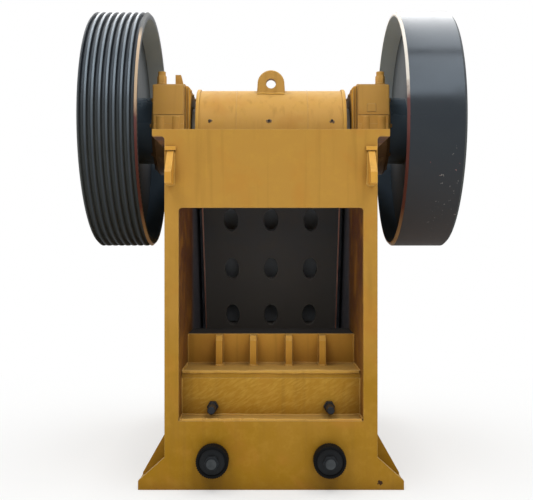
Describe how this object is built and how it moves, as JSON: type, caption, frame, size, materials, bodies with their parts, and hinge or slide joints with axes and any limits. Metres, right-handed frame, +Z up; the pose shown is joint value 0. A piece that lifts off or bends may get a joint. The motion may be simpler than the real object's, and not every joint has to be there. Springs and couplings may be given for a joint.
{
  "type": "jaw crusher",
  "caption": "Jaw crusher with a welded box frame, eccentric shaft, grooved belt pulley, flywheel, swing jaw, toothed jaw plates, toggle beam, adjusting bolts and sprung tension rods.",
  "frame": {"origin": "on the ground under the middle of the machine's overall box", "axes": "+X across the machine along the shaft, from the belt pulley to the flywheel; +Y from the toggle end to the feed end; +Z up"},
  "size_m": [2.55, 2.7114, 3.164],
  "materials": {
    "yellow_paint": "yellow enamel on welded and cast steel, satin, brushed on in places",
    "barrel_and_jaw": "yellow enamel on the barrel, dark primer on the jaw's back",
    "wheel_black": "glossy charcoal enamel on cast iron",
    "jaw_plate_steel": "cast manganese steel, unpainted, dull",
    "machined_steel": "turned and oiled",
    "black_steel": "blackened and oiled steel"
  },
  "bodies": {
    "frame": {"side_wall_left": "yellow_paint", "side_wall_right": "yellow_paint", "rear_plate": "yellow_paint", "front_wall": "yellow_paint", "front_ribs": "yellow_paint", "front_posts": "yellow_paint", "top_flanges": "yellow_paint", "foot_rail_left": "yellow_paint", "foot_rail_right": "yellow_paint", "foot_gussets": "yellow_paint", "side_ribs": "yellow_paint", "side_posts": "yellow_paint", "rear_lugs": "yellow_paint", "bearing_seat_left": "yellow_paint", "bearing_seat_right": "yellow_paint", "seat_gussets": "yellow_paint", "bearing_cap_left": "yellow_paint", "bearing_cap_right": "yellow_paint", "inner_covers": "yellow_paint", "outer_covers": "yellow_paint", "beam_floor": "yellow_paint", "recess_plate": "yellow_paint", "beam_shelf": "yellow_paint", "beam_back_plate": "yellow_paint", "beam_top_plate": "yellow_paint", "beam_abutment": "yellow_paint", "beam_ribs": "yellow_paint", "fixed_jaw_plate": "jaw_plate_steel", "cheek_plates": "jaw_plate_steel", "toggle_plate": "jaw_plate_steel", "toggle_block": "jaw_plate_steel", "main_bearings": "machined_steel", "shims": "machined_steel", "adjusting_bolts": "black_steel", "tension_rods": "black_steel", "spring_caps": "black_steel", "tension_springs": "black_steel"},
    "shaft": {"eccentric_shaft": "machined_steel", "belt_pulley": "wheel_black", "flywheel": "wheel_black", "wheel_lock_rings": "machined_steel"},
    "swing_jaw": {"swing_jaw": "barrel_and_jaw", "swing_jaw_plate": "jaw_plate_steel", "jaw_wedge": "jaw_plate_steel", "barrel_seals": "machined_steel", "jaw_bearings": "machined_steel", "lifting_eye": "yellow_paint"}
  },
  "joints": [
    {"name": "shaft_spin", "type": "hinge", "parent": "frame", "child": "shaft", "pos_m": [0, -0.10569, 2.324], "axis": [1, 0, 0], "continuous": true},
    {"name": "jaw_swing", "type": "hinge", "parent": "shaft", "child": "swing_jaw", "pos_m": [0, -0.10569, 2.308], "axis": [1, 0, 0], "continuous": true}
  ],
  "couplings": [
    {"joint": "jaw_swing", "follows": "shaft_spin", "ratio": -1}
  ]
}
